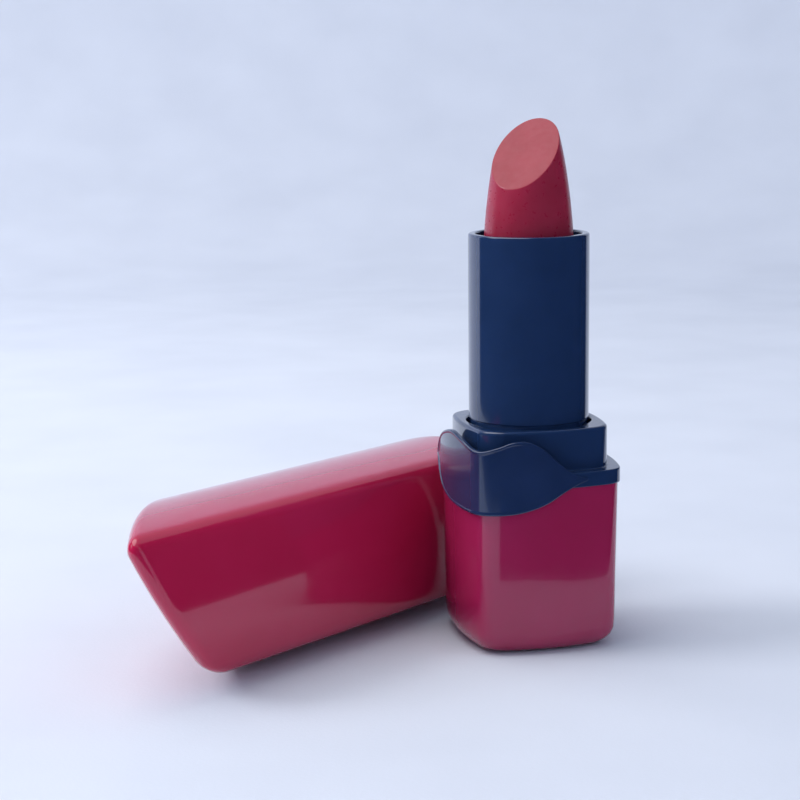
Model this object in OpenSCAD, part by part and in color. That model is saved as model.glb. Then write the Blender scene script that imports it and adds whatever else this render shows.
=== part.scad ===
// Twist-up bullet lipstick in a square case, with its cap lying beside it.
// Millimetres. +Z is up, and the origin is the centre of the base's underside.
// +X runs along the lying cap, from its closed end to its mouth.

/* [Case] */
// Wall of the collar round its bore, at the middle of a face
collar_wall = 1.15; // [0.8:0.05:3]
// Radius of the gentle bow of each case face
face_bow_r = 34; // [24:1:80]
// Radius of the case's upright corners
corner_r = 2.5; // [1.8:0.1:4]
// Height of the red base, up to the black collar's band
base_h = 22.8; // [18:0.1:30]
// Wall of the base and of the cap
wall = 1.2; // [0.8:0.1:1.6]
// Rounding of the base's bottom edge
foot_r = 3.0; // [1.5:0.1:4]
// How much each face draws in from the top of the base to its foot
base_draft = 0.3; // [0:0.05:0.5]
// Turn of the base about +Z, seen from above, from the lying cap's direction
base_yaw = -36; // [-60:1:0]

/* [Collar] */
// How far the collar's band stands out from the base's faces
band_out = 0.3; // [0.1:0.05:0.6]
// Height of the band between base and cap
band_h = 2.0; // [1:0.1:4]
// Gap between the plug and the inside of the cap, on each side
plug_gap = 0.4; // [0.3:0.05:0.6]
// Height of the plug above the band
plug_h = 5.6; // [3:0.1:9]
// Radius of the plug's upright corners
plug_corner_r = 3.8; // [2:0.1:4.5]
// Depth of the collar's skirt inside the base
skirt_h = 3.4; // [2:0.1:4.2]
// Thickness of the wavy trim plate at the front-left corner
trim_t = 0.6; // [0.4:0.05:1]

/* [Lipstick] */
// Diameter of the lipstick
bullet_d = 12.1; // [9:0.1:16]
// Height of the outer tube's rim above the plug
tube_h = 25.5; // [21:0.5:31]
// How far the nose, before its cut, stands above the tube's rim
tip_out = 18.1; // [15:0.1:19]
// Height of the rounded nose of the lipstick, before its cut
nose_h = 19.0; // [16:0.2:20]
// Slant of the cut face from the horizontal, in degrees
cut_angle = 46; // [40:1:55]
// How far behind the axis the cut would meet the height of the uncut tip
cut_back = 6.2; // [5:0.1:7]
// Way in which the cut faces, as a turn about +Z in degrees
cut_yaw = 190; // [0:1:359]

/* [Mechanism] */
// Rise of the lipstick in one full turn of the tube
lead = 20; // [14:1:28]
// Travel from the shown height up to the top stop
lift_up = 3.0; // [1:0.5:4]
// Room left under the cup at the bottom stop
foot_room = 2.3; // [1.5:0.1:5]
// Wall of the grooved sleeve inside the outer tube
cam_wall = 0.6; // [0.5:0.05:0.9]
// Wall of the outer tube
tube_wall = 0.7; // [0.5:0.05:0.8]
// Wall of the slotted inner tube
fork_wall = 0.4; // [0.3:0.05:0.5]
// Wall of the cup that holds the lipstick
cup_wall = 0.5; // [0.4:0.05:0.7]
// Height of the cup
cup_h = 12; // [9:0.5:13]
// Radius of the two lugs on the cup
lug_r = 0.8; // [0.6:0.05:0.9]
// Radial gap of parts that turn or slide in each other
run_gap = 0.1; // [0.05:0.01:0.1]
// Gap round the lugs, in the slots and in the grooves
lug_gap = 0.22; // [0.15:0.01:0.3]
// Radial gap between the tube and the collar's bore
tube_gap = 0.35; // [0.2:0.05:0.5]

/* [Cap] */
// Length of the cap along its middle
cap_l = 57.8; // [54:0.2:75]
// Slant of the cap's closed end, in degrees
cap_slant = 52.5; // [0:0.5:54]
// Way in which the closed end falls away, in degrees from the face that lies uppermost
cap_slant_turn = 118; // [0:1:180]
// Rounding of the edges of the closed end
cap_round = 4.6; // [2:0.1:5]
// Roll of the lying cap on its bowed face, in degrees
cap_roll = 5; // [0:0.5:8]
// Depth from the mouth to the liner's flange
liner_in = 6.2; // [4:0.1:9.6]
// Room between the liner's inner end and the cap's ceiling
liner_room = 2.4; // [1:0.1:12]
// Radial gap between the liner and the tube
liner_gap = 0.2; // [0.15:0.05:0.3]
// Place of the cap's mouth along X
cap_mouth_x = 13.8; // [5:0.1:30]
// Gap between the lying cap and the base's nearest point
cap_stand_off = 0.8; // [0.2:0.1:20]

/* [Hidden] */
$fn = 64;

red = [0.62, 0.04, 0.13];
black = [0.05, 0.06, 0.10];
ivory = [0.85, 0.83, 0.78];
steel = [0.60, 0.62, 0.65];
rose = [0.66, 0.20, 0.25];

seat = 0.05;
// Heights up the standing part
floor_t = wall + 0.3;
weight_h = 5.0;
band_top = base_h + band_h;
plug_top = band_top + plug_h;
rim_z = plug_top + tube_h;
tip_z = rim_z + tip_out;
// Heights of the turning parts, which hang from a ring under the collar's shoulder
ring_h = 1.0;
shoulder_z = base_h - 1.2;
ring_z = shoulder_z - 0.2 - ring_h;
tube_foot = ring_z - 0.6;
tube_step = plug_top + 0.4;
flange_t = 1.4;
flange_top = tube_foot - 0.2;
core_top = flange_top - flange_t;
core_z = floor_t + weight_h;
rim_lip = 0.8;
cam_top = rim_z - rim_lip;
friction_h = 1.15;
cam_foot = flange_top + friction_h + 0.2;
fork_top = rim_z - rim_lip - 0.2;
// Radii, from the lipstick outwards
bullet_r = bullet_d / 2;
cup_r = bullet_r + 0.2;
fork_in = cup_r + run_gap;
fork_r = fork_in + fork_wall;
cam_in = fork_r + run_gap;
tube_in = cam_in + cam_wall + seat;
tube_r = tube_in + tube_wall;
tube_foot_r = tube_r - 0.2;
groove_r = cam_in + 0.65 * (tube_in - cam_in);
lug_out = groove_r - 0.15;
bore_r = tube_r + tube_gap;
// Widths of the plug, of the base and of the band, from the collar's bore outwards
plug_w = 2 * (bore_r + collar_wall);
cap_in_w = plug_w + 2 * plug_gap;
base_w = cap_in_w + 2 * (wall - band_out);
band_w = base_w + 2 * band_out;
ring_r = tube_r + 0.75;
ring_bore_r = ring_r + 0.2;
lip_in = fork_r + 0.45;
liner_r = tube_r + liner_gap;
liner_wall = 0.6;
disc_r = 7.0;
disc_t = 0.5;
foot_bore_r = 6.0;
// The cup stands so that its rim is just under the tube's rim at the top stop
cup_rim_z = rim_z - 1.5 - lift_up;
cup_foot = cup_rim_z - cup_h;
lug_z = cup_foot + 0.4 + lug_r;
lift_down = cup_foot - flange_top - foot_room;
// The helical grooves cover the lugs' whole travel
groove_bottom = lug_z - lift_down - lug_r - 1.0;
groove_top = lug_z + lift_up + lug_r + 1.0;
// Sizes of the section, each the same outline set in or out
cap_half = band_w / 2;
// Thickness of the cap's closed end, its slope, and the liner's length below its lowest corner
cap_top = wall + 0.4;
cap_slope = -tan(cap_slant) * [cos(cap_slant_turn), sin(cap_slant_turn)];
cap_drop = (abs(cap_slope.x) + abs(cap_slope.y)) * (cap_half - corner_r);
liner_l = cap_l - cap_top - (cap_round - wall) - cap_drop - liner_room - liner_in;
// Height of the lying cap's axis: it stands on the bow of its lower face
cap_axis_z = face_bow_r + band_out - (face_bow_r + band_out - cap_half) * cos(cap_roll);
// Angles round one quarter of a section, closer together at the corner
quarter = [-33, -22, -11, 0, 11, 22, 33, 37.5, 41, 45, 49, 52.5];

// Wavy trim: height of its lower and upper edge over the band's top, by the angle round the base
trim_low = [[152, 0.2], [160, -1.8], [172, -3.6], [188, -4.6], [205, -5.0], [225, -5.2],
            [240, -5.2], [252, -4.8], [266, -3.8], [277, -2.5], [286, -1.6], [293, -1.1]];
trim_high = [[152, 0.6], [158, 2.2], [168, 3.8], [180, 4.7], [193, 5.1], [207, 4.5],
             [224, 3.4], [234, 3.9], [243, 4.6], [252, 4.6], [262, 3.6], [273, 1.6],
             [284, -0.1], [293, -0.8]];

// Distance from the section's centre to its outline, at an angle, for a width and a corner
function bow_r(w) = face_bow_r - base_w / 2 + w / 2;
function corner_c(w, rc) =
    let (k = bow_r(w) - w / 2, d = bow_r(w) - rc) (sqrt(2 * d * d - k * k) - k) / 2;
function ray(a, b, r, ang) =
    a * cos(ang) + b * sin(ang) + sqrt(r * r - pow(a * sin(ang) - b * cos(ang), 2));
function outline(w, rc, ang) =
    let (fold = abs((ang + 765) % 90 - 45),
         c = corner_c(w, rc),
         side = w / 2 - bow_r(w),
         turn = atan2(c, c - side),
         join = atan2(c + rc * sin(turn), c + rc * cos(turn)))
    fold < join ? ray(side, 0, bow_r(w), fold) : ray(c, c, rc, fold);
function section(w, rc) =
    [for (q = [0 : 3]) for (a = quarter)
        let (ang = 90 * q + a) outline(w, rc, ang) * [cos(ang), sin(ang)]];
// One ring of a loft: the section set out by "out", at a height that may slope.
// Its corners keep their centre unless they are given a radius
function ring(out, z, slope = [0, 0], rc = 0) =
    [for (p = section(base_w + 2 * out, rc > 0 ? rc : max(corner_r + out, 0.3)))
        [p.x, p.y, z + slope * p]];

// Closed solid through a list of rings, capped at its first and last ring
module loft(rings) {
    n = len(rings[0]);
    m = len(rings);
    sides = [for (i = [0 : m - 2]) for (j = [0 : n - 1]) for (half = [0, 1])
        let (a = i * n + j, b = i * n + (j + 1) % n)
        half == 0 ? [a, b, b + n] : [a, b + n, a + n]];
    first = [for (j = [0 : n - 1]) n - 1 - j];
    last = [for (j = [0 : n - 1]) (m - 1) * n + j];
    turned = [for (f = concat(sides, [first], [last])) [for (k = [len(f) - 1 : -1 : 0]) f[k]]];
    polyhedron([for (r = rings) for (p = r) p], turned);
}

// Round tube section turned about Z, from a radius to a radius and a height to a height
module sleeve(r_in, r_out, z0, z1) {
    translate([0, 0, z0]) difference() {
        cylinder(r = r_out, h = z1 - z0);
        translate([0, 0, -1]) cylinder(r = r_in, h = z1 - z0 + 2);
    }
}

// Straight block with the case's section
module block(w, rc, z0, z1) {
    translate([0, 0, z0]) linear_extrude(z1 - z0) polygon(section(w, rc));
}

module base_shell() {
    // The corners grow rounder towards the foot
    foot_corner = 1.5;
    rings = concat(
        [for (a = [90 : -15 : 0])
            ring(-base_draft - foot_r * (1 - cos(a)), foot_r * (1 - sin(a)),
                rc = corner_r + foot_corner * (1 - cos(a)))],
        [ring(0, base_h), ring(-wall, base_h), ring(-wall, floor_t)]);
    color(red) rotate(base_yaw) difference() {
        loft(rings);
        translate([0, 0, -1]) cylinder(r = disc_r + seat, h = disc_t + 1);
    }
}

module bottom_disc() {
    color(red) cylinder(r = disc_r, h = disc_t);
}

module base_weight() {
    slug_w = base_w - 2 * wall - 1.6;
    color(steel) rotate(base_yaw) difference() {
        block(slug_w, corner_r - 1, floor_t, core_z);
        translate([0, 0, floor_t - 1]) cylinder(r = 2.5, h = weight_h + 2);
    }
}

// Insert that fills the base and grips the inner tube's foot
module base_core() {
    color(ivory) rotate(base_yaw) difference() {
        block(base_w - 2 * (wall + seat), corner_r - wall, core_z, core_top);
        translate([0, 0, core_z + 1.2]) cylinder(r = foot_bore_r, h = core_top);
        translate([0, 0, core_z - 1]) cylinder(r = 2.5, h = 4);
    }
}

// Fixed inner tube with two upright slots for the cup's lugs
module fork_tube() {
    slot_w = 2 * (lug_r + lug_gap);
    slot_bottom = lug_z - lift_down - lug_r - 0.6;
    slot_top = lug_z + lift_up + lug_r + 0.6;
    foot_z = core_z + 1.3;
    color(black) rotate(base_yaw) difference() {
        union() {
            translate([0, 0, foot_z]) cylinder(r = foot_bore_r - seat, h = core_top - foot_z);
            translate([0, 0, core_top]) cylinder(r = tube_r - 0.2, h = flange_t);
            translate([0, 0, flange_top]) cylinder(r = fork_r, h = fork_top - flange_top);
        }
        translate([0, 0, flange_top]) cylinder(r = fork_in, h = rim_z);
        translate([0, 0, foot_z - 1]) cylinder(r = foot_bore_r - 1.2, h = core_top - foot_z + 0.8);
        translate([-tube_r, -slot_w / 2, slot_bottom])
            cube([2 * tube_r, slot_w, slot_top - slot_bottom]);
    }
}

// Elastic ring that gives the twist its drag
module friction_ring() {
    color([0.8, 0.8, 0.82]) sleeve(fork_r, tube_in - seat, flange_top, flange_top + friction_h);
}

module collar() {
    skirt_w = base_w - 2 * (wall + seat);
    bead_w = 5;
    color(black) rotate(base_yaw) difference() {
        union() {
            block(skirt_w, corner_r - wall, base_h - skirt_h, base_h);
            block(band_w, corner_r + band_out, base_h, band_top);
            block(plug_w, plug_corner_r, band_top, plug_top);
            for (a = [0 : 90 : 270]) rotate(a)
                translate([plug_w / 2 - 0.3, -bead_w / 2, band_top + 0.45 * plug_h])
                    cube([0.45, bead_w, 0.6]);
        }
        translate([0, 0, base_h - skirt_h - 1]) cylinder(r = bore_r, h = plug_top);
        translate([0, 0, base_h - skirt_h - 1])
            cylinder(r = ring_bore_r, h = shoulder_z - base_h + skirt_h + 1);
    }
}

// Thin plate round the front-left corner, wavy along its top
module wave_trim() {
    steps = 40;
    first = trim_low[0][0];
    last = trim_low[len(trim_low) - 1][0];
    // The plate thins out towards its right end
    trim_thickness = [[first, trim_t], [245, trim_t], [last, 0.4 * trim_t]];
    function at(w, rc, ang, z) = [outline(w, rc, ang) * cos(ang), outline(w, rc, ang) * sin(ang), z];
    rings = [for (i = [0 : steps])
        let (ang = first + (last - first) * i / steps,
             low = band_top + lookup(ang, trim_low),
             high = band_top + lookup(ang, trim_high),
             t = lookup(ang, trim_thickness))
        [at(band_w, corner_r + band_out, ang, low),
         at(band_w, corner_r + band_out, ang, high),
         at(band_w + 2 * t, corner_r + band_out + t, ang, high),
         at(band_w + 2 * t, corner_r + band_out + t, ang, low)]];
    color(black) rotate(base_yaw) loft(rings);
}

module outer_tube() {
    round_r = 0.3;
    color(black) rotate_extrude() polygon(concat(
        [[tube_in, tube_foot], [tube_foot_r, tube_foot],
         [tube_foot_r, tube_step], [tube_r, tube_step]],
        [for (a = [0 : 30 : 90])
            [tube_r - round_r * (1 - cos(a)), rim_z - round_r * (1 - sin(a))]],
        [[lip_in, rim_z], [lip_in, cam_top], [tube_in, cam_top]]));
}

// Sleeve inside the outer tube, with two helical grooves in its bore
module spiral_cam() {
    pitch_angle = atan(lead / (2 * PI * groove_r));
    groove_w = 2 * (lug_r + lug_gap) / sin(pitch_angle);
    half_ang = groove_w / groove_r * 90 / PI;
    turn = 360 * (groove_top - groove_bottom) / lead;
    // The grooves pass the lugs' height at the lugs' own angle
    start = base_yaw + 360 * (lug_z - groove_bottom) / lead;
    color(black) difference() {
        sleeve(cam_in, tube_in - seat, cam_foot, cam_top);
        for (side = [0, 180])
            translate([0, 0, groove_bottom]) rotate(start + side)
                linear_extrude(groove_top - groove_bottom, twist = turn, slices = 54, $fn = 8)
                    polygon(concat(
                        [for (i = [-2 : 2]) let (a = half_ang * i / 2)
                            (cam_in - 0.4) * [cos(a), sin(a)]],
                        [for (i = [2 : -1 : -2]) let (a = half_ang * i / 2)
                            groove_r * [cos(a), sin(a)]]));
    }
}

// Snap ring on the tube's foot, under the collar's shoulder
module retaining_ring() {
    color(steel) sleeve(tube_foot_r, ring_r, ring_z, ring_z + ring_h);
}

module bullet_cup() {
    color(black) rotate(base_yaw) difference() {
        union() {
            translate([0, 0, cup_foot]) cylinder(r = cup_r, h = cup_h);
            translate([0, 0, lug_z]) rotate([0, 90, 0])
                cylinder(r = lug_r, h = 2 * lug_out, center = true);
        }
        translate([0, 0, cup_foot + 2]) cylinder(r = cup_r - cup_wall, h = cup_h);
        translate([0, 0, cup_foot - 1]) cylinder(r = cup_r - 2, h = 1.2);
    }
}

// Turned bullet with a rounded nose, cut at a slant
module lipstick() {
    steps = 14;
    grip_r = cup_r - cup_wall;
    shoulder = tip_z - nose_h;
    tip_flat = 0.6;
    function nose(t) = bullet_r * pow(1 - pow(t, 1.3), 0.38);
    color(rose) difference() {
        rotate_extrude() polygon(concat(
            [[0, cup_foot + 2], [grip_r, cup_foot + 2], [grip_r, cup_rim_z], [bullet_r, cup_rim_z]],
            [for (i = [0 : steps - 1])
                let (t = i / steps) [nose(t), shoulder + (nose_h + tip_flat) * t]],
            [[0, tip_z + tip_flat]]));
        rotate(cut_yaw) translate([-cut_back, 0, tip_z]) rotate([0, cut_angle, 0])
            translate([-20, -20, 0]) cube([60, 40, 20]);
    }
}

// Places the cap, modelled standing on its mouth, on its side beside the base
module lay_cap() {
    reach = max([for (p = section(band_w, corner_r + band_out))
        p.y * cos(base_yaw) + p.x * sin(base_yaw)]);
    translate([cap_mouth_x, reach + cap_stand_off + cap_half, cap_axis_z])
        rotate([-cap_roll, 0, 0]) rotate([0, -90, 0]) children();
}

module cap_shell() {
    ceiling = cap_l - cap_top;
    in_round = cap_round - wall;
    rings = concat(
        [for (a = [90 : -22.5 : 0])
            ring(band_out - wall - in_round * (1 - cos(a)), ceiling - in_round * (1 - sin(a)), cap_slope)],
        [ring(band_out - wall, 0), ring(band_out, 0)],
        [for (a = [0 : 15 : 90])
            ring(band_out - cap_round * (1 - cos(a)), cap_l - cap_round * (1 - sin(a)), cap_slope)]);
    color(red) lay_cap() loft(rings);
}

// Round sleeve that guides the cap down the tube, on a square flange
module cap_liner() {
    flange_w = base_w + 2 * (band_out - wall - seat);
    color(black) lay_cap() difference() {
        union() {
            block(flange_w, corner_r + band_out - wall, liner_in, liner_in + 1.2);
            translate([0, 0, liner_in]) cylinder(r = liner_r + liner_wall, h = liner_l);
            block(flange_w - 0.4, corner_r + band_out - wall, liner_in + liner_l - 1.0, liner_in + liner_l);
        }
        translate([0, 0, liner_in - 1]) cylinder(r = liner_r, h = liner_l + 2);
    }
}

base_shell();
bottom_disc();
base_weight();
base_core();
fork_tube();
friction_ring();
collar();
wave_trim();
outer_tube();
spiral_cam();
retaining_ring();
bullet_cup();
lipstick();
cap_shell();
cap_liner();
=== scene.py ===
"""Twist-up lipstick with its cap lying beside it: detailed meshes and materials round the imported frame."""
import math

import bmesh
import bpy
from mathutils import Matrix, Vector


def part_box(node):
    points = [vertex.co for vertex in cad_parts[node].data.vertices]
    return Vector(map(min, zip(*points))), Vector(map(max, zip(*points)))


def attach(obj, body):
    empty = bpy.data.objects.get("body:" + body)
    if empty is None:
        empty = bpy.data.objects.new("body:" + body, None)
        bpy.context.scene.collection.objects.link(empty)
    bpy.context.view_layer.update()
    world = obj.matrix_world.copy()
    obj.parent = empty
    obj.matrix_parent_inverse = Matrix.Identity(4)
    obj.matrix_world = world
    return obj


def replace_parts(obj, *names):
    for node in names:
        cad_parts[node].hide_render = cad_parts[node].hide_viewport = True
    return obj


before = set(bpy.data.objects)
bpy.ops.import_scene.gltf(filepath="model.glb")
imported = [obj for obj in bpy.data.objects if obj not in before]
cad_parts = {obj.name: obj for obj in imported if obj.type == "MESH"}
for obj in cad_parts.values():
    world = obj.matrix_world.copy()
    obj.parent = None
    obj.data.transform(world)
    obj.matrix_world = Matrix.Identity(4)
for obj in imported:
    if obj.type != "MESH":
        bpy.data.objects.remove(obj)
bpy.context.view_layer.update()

MM = 0.001

# Driving sizes of the case, in millimetres, as the frame's solids have them
FACE_BOW_R = 34.0
CORNER_R = 2.5
WALL = 1.2
FOOT_R = 3.0
BASE_DRAFT = 0.3
BASE_EDGE = 0.12
BASE_YAW = math.radians(-36)
BAND_OUT = 0.3
BAND_H = 2.0
PLUG_GAP = 0.4
PLUG_CORNER_R = 3.8
SKIRT_H = 3.4
TRIM_T = 0.6
FLOOR_T = WALL + 0.3
DISC_R = 7.0
DISC_T = 0.5
FOOT_CORNER = 1.5
BAND_W = 22.6
CAP_L = 57.8
CAP_SLANT = math.radians(52.5)
CAP_SLANT_TURN = math.radians(118)
CAP_ROLL = math.radians(5)
CAP_ROUND = 4.6
CAP_TOP = WALL + 0.4
CAP_RIM = 0.2
TUBE_GAP = 0.35
TUBE_RELIEF = 0.2
TUBE_WALL = 0.7
TUBE_STEP = 0.4
TUBE_LIP = 1.0
TUBE_CHAMFER = 0.1
RIM_LIP = 0.8
RIM_ROUND = 0.3
LIP_ROUND = 0.25
NOSE_OUT = 18.1
NOSE_H = 19.0
NOSE_FLAT = 0.6
NOSE_POWER = 1.3
NOSE_FULLNESS = 0.38
CUP_SPARE = 0.2
CUT_ANGLE = math.radians(46)
CUT_BACK = 6.2
CUT_YAW = math.radians(190)


def box_mm(node):
    """Lowest and highest corner of a CAD node, in millimetres."""
    low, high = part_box(node)
    return low / MM, high / MM


# Places and sizes that the frame gives
cap_low, cap_high = box_mm("cap_shell")
cap_axis = (cap_low + cap_high) / 2
cap_mouth_x = cap_high.x
cap_slope = (-math.tan(CAP_SLANT) * math.cos(CAP_SLANT_TURN),
             -math.tan(CAP_SLANT) * math.sin(CAP_SLANT_TURN))
base_w = BAND_W - 2 * BAND_OUT
base_h = box_mm("base_shell")[1].z
band_top = base_h + BAND_H
plug_w = base_w - 2 * (WALL - BAND_OUT) - 2 * PLUG_GAP
plug_top = box_mm("collar")[1].z
tube_foot = box_mm("outer_tube")[0].z
tube_rim = box_mm("outer_tube")[1].z
tube_r = box_mm("outer_tube")[1].x
stick_foot = box_mm("lipstick")[0].z
stick_r = box_mm("bullet_cup")[1].y - CUP_SPARE
nose_top = tube_rim + NOSE_OUT
shoulder = base_h - WALL


# ---------------------------------------------------------------- section and mesh helpers

def bow_radius(width):
    return FACE_BOW_R + (width - base_w) / 2


def corner_centre(width, corner):
    chord = bow_radius(width) - width / 2
    reach = bow_radius(width) - corner
    return (math.sqrt(2 * reach * reach - chord * chord) - chord) / 2


def ray(a, b, radius, turn):
    """Distance from the origin, along a direction, to a circle centred at (a, b)."""
    across = a * math.sin(turn) - b * math.cos(turn)
    return a * math.cos(turn) + b * math.sin(turn) + math.sqrt(radius * radius - across * across)


def outline(width, corner, turn):
    """Distance from the centre to the bowed square section, in the direction turn."""
    fold = abs((turn + math.radians(765)) % math.radians(90) - math.radians(45))
    centre = corner_centre(width, corner)
    side = width / 2 - bow_radius(width)
    lean = math.atan2(centre, centre - side)
    join = math.atan2(centre + corner * math.sin(lean), centre + corner * math.cos(lean))
    if fold < join:
        return ray(side, 0, bow_radius(width), fold)
    return ray(centre, centre, corner, fold)


def section_turns():
    """Directions round the section, closer together at the corners."""
    side = [-34.0 + 68.0 * i / 16 for i in range(17)]
    corner = [35.4 + 19.2 * i / 12 for i in range(13)]
    return [math.radians(90 * quarter + a) for quarter in range(4) for a in side + corner]


TURNS = section_turns()


def ring(width, corner, z, slope=(0.0, 0.0)):
    """One ring of the bowed square section, at a height that may slope along X and Y."""
    points = []
    for turn in TURNS:
        r = outline(width, corner, turn)
        x, y = r * math.cos(turn), r * math.sin(turn)
        points.append(Vector((x, y, z + slope[0] * x + slope[1] * y)))
    return points


def set_out(out, z, slope=(0.0, 0.0), corner=None):
    """A ring of the base's section, moved outwards by out, with its corners' radius grown or given."""
    return ring(base_w + 2 * out, corner or max(CORNER_R + out, 0.3), z, slope)


def round_ring(radius, z, turns=TURNS):
    return [Vector((radius * math.cos(t), radius * math.sin(t), z)) for t in turns]


def shrunk(points, share):
    """A ring drawn in towards its own middle."""
    middle = sum(points, Vector()) / len(points)
    return [middle + (p - middle) * share for p in points]


def arc(start, end, steps):
    """Angles in radians from start to end degrees."""
    return [math.radians(start + (end - start) * i / steps) for i in range(steps + 1)]


def mesh_piece(name, points, faces, materials, place=Matrix.Identity(4), face_slots=None):
    """A smooth-shaded object made from points in millimetres."""
    mesh = bpy.data.meshes.new(name)
    mesh.from_pydata([place @ p * MM for p in points], [], faces)
    for material in materials:
        mesh.materials.append(material)
    if face_slots:
        mesh.polygons.foreach_set("material_index", face_slots)
    solid = bmesh.new()
    solid.from_mesh(mesh)
    bmesh.ops.recalc_face_normals(solid, faces=solid.faces)
    solid.to_mesh(mesh)
    solid.free()
    mesh.shade_smooth()
    mesh.set_sharp_from_angle(angle=math.radians(38))
    mesh.validate()
    piece = bpy.data.objects.new(name, mesh)
    bpy.context.scene.collection.objects.link(piece)
    normals = piece.modifiers.new("weighted_normals", "WEIGHTED_NORMAL")
    normals.keep_sharp = True
    normals.weight = 80
    return piece


def loft_faces(ring_count, size, closed):
    """Quads between neighbouring rings, numbered ring by ring."""
    faces = []
    for i in range(ring_count if closed else ring_count - 1):
        a = i * size
        b = (i + 1) % ring_count * size
        for j in range(size):
            k = (j + 1) % size
            faces.append((a + j, a + k, b + k, b + j))
    return faces


def loft(name, rings, material, closed=False, place=Matrix.Identity(4)):
    """A solid through rings: closed joins the last ring to the first, else both ends are capped."""
    size = len(rings[0])
    points = [p for r in rings for p in r]
    faces = loft_faces(len(rings), size, closed)
    if not closed:
        for index, r in ((0, rings[0]), (len(rings) - 1, rings[-1])):
            points.append(sum(r, Vector()) / size)
            middle = len(points) - 1
            for j in range(size):
                edge = (index * size + j, index * size + (j + 1) % size)
                faces.append((edge[1], edge[0], middle) if index == 0 else (edge[0], edge[1], middle))
    return mesh_piece(name, points, faces, [material], place)


STAND = Matrix.Rotation(BASE_YAW, 4, "Z")
ON_SIDE = Matrix(((0, 0, -1, 0), (0, 1, 0, 0), (1, 0, 0, 0), (0, 0, 0, 1)))
LIE = (Matrix.Translation((cap_mouth_x, cap_axis.y, cap_axis.z))
       @ Matrix.Rotation(-CAP_ROLL, 4, "X") @ ON_SIDE)


# ---------------------------------------------------------------- materials

def new_material(name, **sockets):
    """A material with its shader's own sockets set, and its node tree's parts."""
    material = bpy.data.materials.new(name)
    material.use_nodes = True
    shader = material.node_tree.nodes["Principled BSDF"]
    for socket, value in sockets.items():
        shader.inputs[socket.replace("_", " ")].default_value = value
    return material, material.node_tree, shader


def noise(tree, scale, detail=3.0, stretch=(1.0, 1.0, 1.0)):
    """Noise in the piece's own coordinates, in cycles a metre."""
    place = tree.nodes.new("ShaderNodeTexCoord")
    mapping = tree.nodes.new("ShaderNodeMapping")
    mapping.inputs["Scale"].default_value = stretch
    texture = tree.nodes.new("ShaderNodeTexNoise")
    texture.inputs["Scale"].default_value = scale
    texture.inputs["Detail"].default_value = detail
    tree.links.new(place.outputs["Object"], mapping.inputs["Vector"])
    tree.links.new(mapping.outputs["Vector"], texture.inputs["Vector"])
    return texture.outputs["Fac"]


def ramp(tree, source, low, high, start=0.3, end=0.7):
    """Colour between low and high as the source goes from start to end."""
    node = tree.nodes.new("ShaderNodeValToRGB")
    node.color_ramp.elements[0].position = start
    node.color_ramp.elements[0].color = (*low, 1.0)
    node.color_ramp.elements[1].position = end
    node.color_ramp.elements[1].color = (*high, 1.0)
    tree.links.new(source, node.inputs["Fac"])
    return node.outputs["Color"]


def spread(tree, source, low, high):
    """A number between low and high as the source goes from 0.3 to 0.7."""
    node = tree.nodes.new("ShaderNodeMapRange")
    node.inputs["From Min"].default_value = 0.3
    node.inputs["From Max"].default_value = 0.7
    node.inputs["To Min"].default_value = low
    node.inputs["To Max"].default_value = high
    tree.links.new(source, node.inputs["Value"])
    return node.outputs["Result"]


def bump(tree, source, depth, under=None):
    """A bump of that depth in metres, over another bump if one is given."""
    node = tree.nodes.new("ShaderNodeBump")
    node.inputs["Distance"].default_value = depth
    tree.links.new(source, node.inputs["Height"])
    if under is not None:
        tree.links.new(under, node.inputs["Normal"])
    return node.outputs["Normal"]


def gloss_plastic(name, dark, light, rough, flow, coat):
    """Polished moulded plastic: faint flow marks, a little orange peel and fine handling scratches."""
    material, tree, shader = new_material(
        name, IOR=1.49, Coat_Weight=coat, Coat_Roughness=0.02, Coat_IOR=1.5)
    tree.links.new(ramp(tree, noise(tree, flow), dark, light), shader.inputs["Base Color"])
    tree.links.new(spread(tree, noise(tree, 700, 4), *rough), shader.inputs["Roughness"])
    peel = bump(tree, noise(tree, 260, 1), 6e-6)
    scratches = bump(tree, noise(tree, 2600, 2, (1.0, 0.35, 0.06)), 8e-7, peel)
    tree.links.new(scratches, shader.inputs["Normal"])
    return material


def wax(name, dark, light, rough, grain, stretch):
    """Pigmented wax: satin, a little light inside, and the drag marks of its mould or knife."""
    material, tree, shader = new_material(
        name, IOR=1.45, Subsurface_Weight=0.12, Subsurface_Radius=(1.0, 0.25, 0.2),
        Subsurface_Scale=0.0006)
    tree.links.new(ramp(tree, noise(tree, 240, 4), dark, light), shader.inputs["Base Color"])
    tree.links.new(spread(tree, noise(tree, 1500, 3), *rough), shader.inputs["Roughness"])
    drag = bump(tree, noise(tree, grain, 3, stretch), 1.6e-5)
    tree.links.new(bump(tree, noise(tree, 6000, 2), 4e-6, drag), shader.inputs["Normal"])
    return material


def satin_plastic(name, dark, light):
    """Unpolished moulded plastic of the pieces inside."""
    material, tree, shader = new_material(name, IOR=1.49)
    tree.links.new(ramp(tree, noise(tree, 180), dark, light), shader.inputs["Base Color"])
    tree.links.new(spread(tree, noise(tree, 900, 3), 0.38, 0.5), shader.inputs["Roughness"])
    tree.links.new(bump(tree, noise(tree, 4200, 3), 4e-6), shader.inputs["Normal"])
    return material


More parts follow.
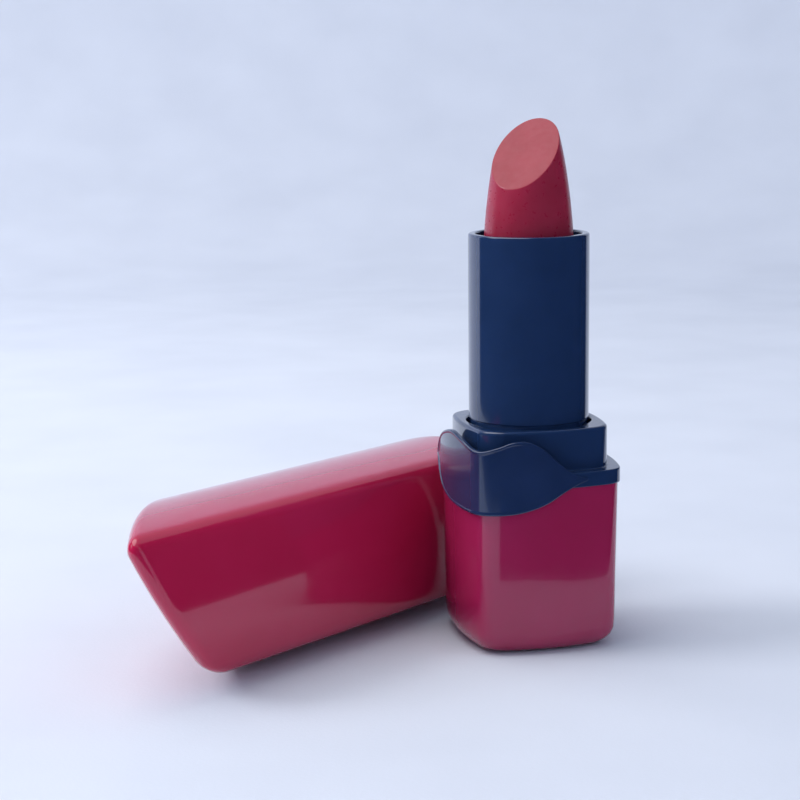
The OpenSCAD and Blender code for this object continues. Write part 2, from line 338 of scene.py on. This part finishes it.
def turned_steel(name):
    """Plated steel with fine turning marks round its axis."""
    material, tree, shader = new_material(name, Metallic=1.0)
    tree.links.new(ramp(tree, noise(tree, 300), (0.42, 0.43, 0.45), (0.58, 0.59, 0.60)),
                   shader.inputs["Base Color"])
    tree.links.new(spread(tree, noise(tree, 900, 3), 0.24, 0.38), shader.inputs["Roughness"])
    marks = noise(tree, 500, 2, (1.0, 1.0, 30.0))
    tree.links.new(bump(tree, marks, 6e-6), shader.inputs["Normal"])
    return material


def elastomer(name):
    """Soft translucent rubber of the drag ring."""
    material, tree, shader = new_material(name, IOR=1.43, Subsurface_Weight=0.3,
                                          Subsurface_Scale=0.001)
    tree.links.new(ramp(tree, noise(tree, 400), (0.50, 0.51, 0.52), (0.62, 0.63, 0.64)),
                   shader.inputs["Base Color"])
    tree.links.new(spread(tree, noise(tree, 1200, 3), 0.55, 0.7), shader.inputs["Roughness"])
    tree.links.new(bump(tree, noise(tree, 5000, 3), 5e-6), shader.inputs["Normal"])
    return material


def paper_floor(name):
    """Plain pale sheet with a barely visible tooth."""
    material, tree, shader = new_material(name, Specular_IOR_Level=0.0)
    tree.links.new(ramp(tree, noise(tree, 30, 2), (0.66, 0.70, 0.79), (0.70, 0.74, 0.83)),
                   shader.inputs["Base Color"])
    tree.links.new(spread(tree, noise(tree, 500, 3), 0.85, 0.95), shader.inputs["Roughness"])
    tree.links.new(bump(tree, noise(tree, 1800, 4), 2.5e-5), shader.inputs["Normal"])
    return material


case_red = gloss_plastic(
    "case_red_plastic", (0.33, 0.013, 0.070), (0.37, 0.017, 0.085), (0.10, 0.15), 70, 0.4)
cap_red = gloss_plastic(
    "cap_red_plastic", (0.46, 0.010, 0.058), (0.50, 0.014, 0.072), (0.10, 0.15), 60, 0.4)
# Black plastic given a lifted navy base colour: painted reflection of a dim bluish surround and painted fill
# light
collar_black_painted_navy = gloss_plastic(
    "collar_black_plastic_painted_navy", (0.011, 0.029, 0.086), (0.014, 0.035, 0.102), (0.08, 0.13), 120, 0.4)
# Black plastic given a lifted navy base colour: painted reflection of a dim bluish surround and painted fill
# light
trim_black_painted_navy = gloss_plastic(
    "trim_black_plastic_painted_navy", (0.012, 0.027, 0.080), (0.016, 0.034, 0.098), (0.07, 0.12), 160, 0.4)
stick_side = wax(
    "stick_side_wax", (0.31, 0.010, 0.040), (0.36, 0.014, 0.050), (0.26, 0.36), 700, (1, 1, 0.12))
# Same wax as the side with a lighter, paler base colour: painted light on the cut face, which turns towards
# the lamps; its rougher finish is real
stick_cut_painted_lit = wax(
    "stick_cut_wax_painted_lit", (0.33, 0.045, 0.060), (0.38, 0.056, 0.075), (0.55, 0.68), 900, (0.5, 1.6, 0.5))
ivory = satin_plastic("mechanism_plastic", (0.70, 0.66, 0.58), (0.78, 0.74, 0.66))
inner_black = satin_plastic("inner_black_plastic", (0.008, 0.009, 0.014), (0.013, 0.014, 0.020))
steel = turned_steel("plated_steel")
rubber = elastomer("drag_ring_rubber")


# ---------------------------------------------------------------- pieces of the standing part

def base_case():
    """Red base: bowed walls with a little draft, a rounded foot and a recess for its disc."""
    edge = BASE_EDGE
    chamfer = 0.3
    floor_inset = 4
    rings = [set_out(-WALL - floor_inset, FLOOR_T), set_out(-WALL - chamfer, FLOOR_T),
             set_out(-WALL, FLOOR_T + chamfer)]
    rings += [set_out(-WALL + edge * (1 - math.cos(a)), base_h - edge * (1 - math.sin(a)))
              for a in arc(0, 90, 3)]
    rings += [set_out(-edge * (1 - math.cos(a)), base_h - edge * (1 - math.sin(a)))
              for a in arc(90, 0, 3)]
    levels = 14
    for i in range(1, levels):
        z = base_h - edge + (FOOT_R - base_h + edge) * i / levels
        rings.append(set_out(-BASE_DRAFT * (base_h - z) / (base_h - FOOT_R), z))
    rings += [set_out(-BASE_DRAFT - FOOT_R * (1 - math.cos(a)), FOOT_R * (1 - math.sin(a)),
                      corner=CORNER_R + FOOT_CORNER * (1 - math.cos(a))) for a in arc(0, 90, 14)]
    seat = DISC_R + 0.08
    rings += [round_ring(DISC_R + 0.35, 0.0), round_ring(DISC_R + 0.2, 0.0), round_ring(seat, 0.12)]
    rings += [round_ring(seat, DISC_T), round_ring(DISC_R - 1, DISC_T)]
    piece = loft("case_base", rings, case_red, place=STAND)
    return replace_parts(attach(piece, "base"), "base_shell")


def collar_body():
    """Black collar: skirt in the base, band, ledge and the square plug with its round bore."""
    bore = tube_r + TUBE_GAP
    groove = tube_r + 0.95
    skirt = -WALL - 0.05
    skirt_z = base_h - SKIRT_H
    top = 0.45
    band = 0.16
    heel = 0.25

    def plug(out, z):
        return ring(plug_w + 2 * out, PLUG_CORNER_R + out, z)

    rings = [round_ring(groove, skirt_z), round_ring(groove, shoulder - 0.1)]
    rings += [round_ring(groove - 0.1, shoulder)]
    rings += [round_ring(bore + 0.1, shoulder), round_ring(bore, shoulder + 0.1)]
    rings += [round_ring(bore, plug_top - 0.4)]
    rings += [round_ring(bore + 0.25 * (1 - math.cos(a)), plug_top - 0.25 * (1 - math.sin(a)))
              for a in arc(0, 90, 4)]
    rings += [plug(-top - 0.05, plug_top)]
    rings += [plug(-top * (1 - math.cos(a)), plug_top - top * (1 - math.sin(a)))
              for a in arc(90, 0, 6)]
    rings += [plug(0, plug_top - top - 0.1), plug(0, (plug_top + band_top) / 2)]
    rings += [plug(0, band_top + heel + 0.1)]
    rings += [plug(heel * (1 - math.cos(a)), band_top + heel * (1 - math.sin(a)))
              for a in arc(0, 90, 4)]
    rings += [set_out(BAND_OUT - band - 0.1, band_top)]
    rings += [set_out(BAND_OUT - band * (1 - math.cos(a)), band_top - band * (1 - math.sin(a)))
              for a in arc(90, 0, 4)]
    rings += [set_out(BAND_OUT, band_top - band - 0.1), set_out(BAND_OUT, base_h + 0.2)]
    rings += [set_out(BAND_OUT - 0.1 * (1 - math.cos(a)), base_h + 0.1 * (1 - math.sin(a)))
              for a in arc(0, 90, 2)]
    rings += [set_out(skirt, base_h), set_out(skirt, skirt_z + 0.3), set_out(skirt - 0.3, skirt_z)]
    piece = loft("collar_body", rings, collar_black_painted_navy, closed=True, place=STAND)
    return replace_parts(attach(piece, "base"), "collar")


# Edges of the trim plate: (direction in degrees, height over the collar's band)
TRIM_LOW = ((152, 0.2), (160, -1.8), (172, -3.6), (188, -4.6), (205, -5.0), (225, -5.2),
            (240, -5.2), (252, -4.8), (266, -3.8), (277, -2.5), (286, -1.6), (293, -1.1))
TRIM_HIGH = ((152, 0.6), (158, 2.2), (168, 3.8), (180, 4.7), (193, 5.1), (207, 4.5), (224, 3.4),
             (234, 3.9), (243, 4.6), (252, 4.6), (262, 3.6), (273, 1.6), (284, -0.1), (293, -0.8))
TRIM_THIN_FROM = 245
TRIM_THINNING = 0.6
RIM_FADE = 4


def smooth_lookup(points, at):
    """Value of a smooth curve through (place, value) points."""
    n = len(points)
    i = max(k for k in range(n - 1) if points[k][0] <= at + 1e-9)
    slopes = []
    for k in (i, i + 1):
        before, after = points[max(k - 1, 0)], points[min(k + 1, n - 1)]
        slopes.append((after[1] - before[1]) / (after[0] - before[0]))
    step = points[i + 1][0] - points[i][0]
    t = (at - points[i][0]) / step
    return ((2 * t ** 3 - 3 * t ** 2 + 1) * points[i][1] + (t ** 3 - 2 * t ** 2 + t) * step * slopes[0]
            + (3 * t ** 2 - 2 * t ** 3) * points[i + 1][1] + (t ** 3 - t ** 2) * step * slopes[1])


def trim_profile(height, thick, relief):
    """Section of the trim plate: (out, up) from its inner foot, round a rim raised by relief."""
    edge = min(0.24, height * 0.3, thick * 0.6)
    rim = min(0.42, height * 0.4)
    sink = 0.13 * min(1.0, height / 2)
    upper_sink = sink * relief
    flat = thick - sink
    crest = flat + upper_sink
    upper = [(crest - edge * (1 - math.cos(a)), height - edge * (1 - math.sin(a))) for a in arc(90, 0, 4)]
    lower = [(thick - edge * (1 - math.cos(a)), edge * (1 - math.sin(a))) for a in arc(0, 90, 4)]
    face = [(flat + upper_sink * 0.4, height - rim), (flat, height - rim - 0.12)]
    face += [(flat, height / 2)]
    face += [(flat, rim + 0.12), (flat + sink * 0.4, rim)]
    return [(0.0, 0.0), (0.0, height)] + upper + face + lower


def trim_plate():
    """Wavy plate round the front-left corner, with a raised rim along its edges."""
    steps = 150
    first, last = TRIM_LOW[0][0], TRIM_LOW[-1][0]
    rings = []
    for i in range(steps + 1):
        degrees = first + (last - first) * i / steps
        low = smooth_lookup(TRIM_LOW, degrees)
        high = max(smooth_lookup(TRIM_HIGH, degrees), low + 0.3)
        turn = math.radians(degrees)
        past = max(0.0, (degrees - TRIM_THIN_FROM) / (last - TRIM_THIN_FROM))
        thick = TRIM_T * (1 - TRIM_THINNING * past)
        points = []
        for out, up in trim_profile(high - low, thick, max(0.0, 1 - RIM_FADE * past)):
            r = outline(base_w + 2 * (BAND_OUT + out), CORNER_R + BAND_OUT + out, turn)
            points.append(Vector((r * math.cos(turn), r * math.sin(turn), band_top + low + up)))
        rings.append(points[::-1])
    piece = loft("trim_plate", rings, trim_black_painted_navy, place=STAND)
    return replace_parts(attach(piece, "base"), "wave_trim")


FINE_TURNS = [2 * math.pi * i / 160 for i in range(160)]


def tube_sleeve():
    """Outer tube: turned, with a relieved foot, a thin rounded rim and an inward lip."""
    inner = tube_r - TUBE_WALL
    lip = tube_r - TUBE_LIP
    foot_r = tube_r - TUBE_RELIEF
    step = plug_top + TUBE_STEP
    chamfer = TUBE_CHAMFER
    profile = [(inner, tube_foot + chamfer), (inner + chamfer, tube_foot)]
    profile += [(foot_r - chamfer, tube_foot), (foot_r, tube_foot + chamfer)]
    profile += [(foot_r, step - 0.1), (foot_r, step), (tube_r - 0.08, step)]
    profile += [(tube_r, step + 0.08), (tube_r, step + 0.3)]
    profile += [(tube_r, step + (tube_rim - step) * i / 12) for i in range(1, 12)]
    profile += [(tube_r, tube_rim - RIM_ROUND - 0.15)]
    profile += [(tube_r - RIM_ROUND * (1 - math.cos(a)), tube_rim - RIM_ROUND * (1 - math.sin(a)))
                for a in arc(0, 90, 7)]
    profile += [(lip + LIP_ROUND * (1 - math.sin(a)), tube_rim - LIP_ROUND * (1 - math.cos(a)))
                for a in arc(0, 90, 5)]
    profile += [(lip, tube_rim - RIM_LIP), (inner - 0.05, tube_rim - RIM_LIP)]
    profile += [(inner, tube_rim - RIM_LIP - 0.05)]
    rings = [round_ring(r, z, FINE_TURNS) for r, z in profile]
    piece = loft("tube_sleeve", rings, collar_black_painted_navy, closed=True)
    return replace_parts(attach(piece, "tube"), "outer_tube")


def nose_point(share, turn):
    """Point on the bullet's nose before it is cut: share 0 at the shoulder and 1 at the tip."""
    r = stick_r * max(0.0, 1 - share ** NOSE_POWER) ** NOSE_FULLNESS
    z = nose_top - NOSE_H + (NOSE_H + NOSE_FLAT) * share
    return Vector((r * math.cos(turn), r * math.sin(turn), z))


def above_cut(point):
    """How far a point is above the slanted cut."""
    forward = point.x * math.cos(CUT_YAW) + point.y * math.sin(CUT_YAW)
    return point.z - nose_top + (forward + CUT_BACK) * math.tan(CUT_ANGLE)


def cut_share(turn):
    """Share of the nose at which the cut crosses it in one direction."""
    low, high = 0.0, 1.0
    for _ in range(40):
        middle = (low + high) / 2
        if above_cut(nose_point(middle, turn)) < 0:
            low = middle
        else:
            high = middle
    return low


def lipstick_stick():
    """Turned bullet of wax, cut at a slant, with a soft edge round the cut."""
    turns = FINE_TURNS
    shares = [cut_share(t) for t in turns]
    edge = [nose_point(s, t) for s, t in zip(shares, turns)]
    middle = sum(edge, Vector()) / len(edge)
    foot = stick_foot + 9
    rings = [round_ring(stick_r, z, turns) for z in (foot, tube_rim - 3, nose_top - NOSE_H - 0.1)]
    rows = 34
    soft = 0.16
    for i in range(rows):
        rings.append([nose_point(s * i / rows, t) for s, t in zip(shares, turns)])
    below = [p + (nose_point(s * 0.97, t) - p).normalized() * soft for p, s, t in zip(edge, shares, turns)]
    inside = [p + (middle - p).normalized() * soft for p in edge]
    for i in range(6):
        k = i / 5
        rings.append([a * (1 - k) ** 2 + p * 2 * k * (1 - k) + b * k ** 2
                      for a, p, b in zip(below, edge, inside)])
    side_rings = len(rings)
    rings += [[middle + (p - middle) * k for p in inside] for k in (0.97, 0.9, 0.75, 0.55, 0.35, 0.15)]
    size = len(turns)
    points = [p for r in rings for p in r]
    faces = loft_faces(len(rings), size, False)
    slots = [0 if i // size < side_rings - 3 else 1 for i in range(len(faces))]
    for index, centre in ((0, Vector((0, 0, foot))), (len(rings) - 1, middle)):
        points.append(centre)
        last = len(points) - 1
        for j in range(size):
            a, b = index * size + j, index * size + (j + 1) % size
            faces.append((b, a, last) if index == 0 else (a, b, last))
            slots.append(0 if index == 0 else 1)
    piece = mesh_piece("lipstick_stick", points, faces, [stick_side, stick_cut_painted_lit], face_slots=slots)
    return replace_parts(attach(piece, "elevator"), "lipstick")


# ---------------------------------------------------------------- the cap

def cap_body():
    """Red cap: bowed walls, a slanted closed end with a generous rounding, and an open mouth."""
    rim = CAP_RIM
    inner = BAND_OUT - WALL
    in_round = CAP_ROUND - WALL
    ceiling = CAP_L - CAP_TOP
    end_inner = set_out(inner - in_round, ceiling, cap_slope)
    end_outer = set_out(BAND_OUT - CAP_ROUND, CAP_L, cap_slope)
    rings = [shrunk(end_inner, 0.5)]
    rings += [set_out(inner - in_round * (1 - math.cos(a)), ceiling - in_round * (1 - math.sin(a)),
                      cap_slope) for a in arc(90, 0, 6)]
    rings += [set_out(inner, rim + 0.2)]
    rings += [set_out(inner + rim * (1 - math.cos(a)), rim * (1 - math.sin(a)))
              for a in arc(0, 90, 3)]
    rings += [set_out(BAND_OUT - rim * (1 - math.cos(a)), rim * (1 - math.sin(a)))
              for a in arc(90, 0, 4)]
    levels = 24
    for i in range(1, levels):
        k = i / levels
        slope = (cap_slope[0] * k, cap_slope[1] * k)
        rings.append(set_out(BAND_OUT, rim + (CAP_L - CAP_ROUND - rim) * k, slope))
    rings += [set_out(BAND_OUT - CAP_ROUND * (1 - math.cos(a)), CAP_L - CAP_ROUND * (1 - math.sin(a)),
                      cap_slope) for a in arc(0, 90, 18)]
    rings += [shrunk(end_outer, k) for k in (0.97, 0.85, 0.65, 0.4, 0.2)]
    piece = loft("cap_body", rings, cap_red, place=LIE)
    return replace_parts(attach(piece, "cap"), "cap_shell")


# ---------------------------------------------------------------- stage, light and camera

def dress_nodes():
    """Materials for the CAD nodes that show as they are."""
    for node, material in (("bottom_disc", case_red), ("base_weight", steel), ("base_core", ivory),
                           ("fork_tube", inner_black), ("friction_ring", rubber),
                           ("spiral_cam", inner_black), ("retaining_ring", steel),
                           ("bullet_cup", inner_black), ("cap_liner", collar_black_painted_navy)):
        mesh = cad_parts[node].data
        mesh.materials.clear()
        mesh.materials.append(material)


FLOOR_R = 0.42
SWEEP_R = 0.25
SWEEP_TOP = 0.65


def stage_floor():
    """Pale floor that sweeps up into a round backdrop."""
    profile = [(FLOOR_R * i / 8, 0.0) for i in range(1, 9)]
    profile += [(FLOOR_R + SWEEP_R * math.sin(a), SWEEP_R * (1 - math.cos(a))) for a in arc(6, 90, 14)]
    profile += [(FLOOR_R + SWEEP_R, SWEEP_TOP)]
    count = 96
    points = [Vector((0, 0, 0))]
    for r, z in profile:
        points += round_ring(r, z, [2 * math.pi * i / count for i in range(count)])
    faces = [(0, 1 + i, 1 + (i + 1) % count) for i in range(count)]
    faces += [tuple(1 + k for k in reversed(face)) for face in loft_faces(len(profile), count, False)]
    mesh = bpy.data.meshes.new("floor")
    mesh.from_pydata(points, [], faces)
    mesh.materials.append(paper_floor("floor_sheet"))
    mesh.shade_smooth()
    floor = bpy.data.objects.new("floor", mesh)
    bpy.context.scene.collection.objects.link(floor)


# Plans of the black reflection flags: (direction in degrees, distance in metres) from the tube's axis
FRONT_FLAG = ((219, 0.046), (235, 0.045), (250, 0.044), (265, 0.044), (280, 0.047), (295, 0.056),
              (312, 0.080), (335, 0.130), (354, 0.180))
LEFT_FLAG = ((112, 0.190), (135, 0.170), (160, 0.150), (182, 0.125), (205, 0.110), (225, 0.105),
             (240, 0.100))
FLAG_TOP = 0.20


def reflection_flag(name, plan):
    """Black screen that only glossy reflections see, as a studio flag out of the shot."""
    material, _, shader = new_material(name + "_black", Roughness=1.0, Specular_IOR_Level=0.0)
    shader.inputs["Base Color"].default_value = (0.004, 0.005, 0.008, 1.0)
    foot = [Vector((d * math.cos(math.radians(a)), d * math.sin(math.radians(a)), 0.0)) for a, d in plan]
    points = foot + [p + Vector((0, 0, FLAG_TOP)) for p in foot]
    n = len(foot)
    mesh = bpy.data.meshes.new(name)
    mesh.from_pydata(points, [], [(i, i + 1, n + i + 1, n + i) for i in range(n - 1)])
    mesh.materials.append(material)
    flag = bpy.data.objects.new(name, mesh)
    bpy.context.scene.collection.objects.link(flag)
    flag.visible_camera = False
    flag.visible_shadow = False
    flag.visible_diffuse = False
    flag.visible_transmission = False


def area_light(name, place, aim, size, watts, colour):
    data = bpy.data.lights.new(name, "AREA")
    data.shape = "DISK"
    data.size = size
    data.energy = watts
    data.color = colour
    light = bpy.data.objects.new(name, data)
    light.location = place
    light.rotation_mode = "QUATERNION"
    light.rotation_quaternion = (Vector(aim) - Vector(place)).to_track_quat("-Z", "Y")
    bpy.context.scene.collection.objects.link(light)


def studio_light():
    """Even pale sky, a large soft light over the object and another behind it to the left."""
    world = bpy.data.worlds.new("studio")
    bpy.context.scene.world = world
    world.use_nodes = True
    sky = world.node_tree.nodes["Background"]
    sky.inputs["Color"].default_value = (0.86, 0.92, 1.0, 1.0)
    sky.inputs["Strength"].default_value = 0.52
    area_light("overhead", (-0.12, 0.24, 0.62), (-0.08, 0.12, 0.0), 0.6, 2.2, (1.0, 0.98, 0.96))
    area_light("side", (-0.38, 0.40, 0.42), (-0.12, 0.30, 0.0), 0.3, 1.9, (1.0, 0.99, 1.0))
    bpy.context.scene.view_settings.view_transform = "Standard"


EYE = Vector((-0.2089, -0.1535, 0.0786))
LOOK = Vector((0.7522, 0.6357, -0.1731))
ROLL = -0.011
LENS = 86.3


def camera():
    """Camera a little above the lipstick's tip, looking slightly down."""
    data = bpy.data.cameras.new("camera")
    data.sensor_width = 36.0
    data.lens = LENS
    data.clip_start = 0.01
    data.clip_end = 20.0
    eye = bpy.data.objects.new("camera", data)
    look = LOOK.normalized()
    level = look.cross(Vector((0, 0, 1))).normalized()
    upright = level.cross(look)
    right = level * math.cos(ROLL) + upright * math.sin(ROLL)
    up = right.cross(look)
    eye.matrix_world = Matrix((
        (right.x, up.x, -look.x, EYE.x),
        (right.y, up.y, -look.y, EYE.y),
        (right.z, up.z, -look.z, EYE.z),
        (0, 0, 0, 1)))
    bpy.context.scene.collection.objects.link(eye)
    bpy.context.scene.camera = eye


camera()
stage_floor()
reflection_flag("front_flag", FRONT_FLAG)
reflection_flag("left_flag", LEFT_FLAG)
studio_light()
dress_nodes()
base_case()
collar_body()
trim_plate()
tube_sleeve()
lipstick_stick()
cap_body()
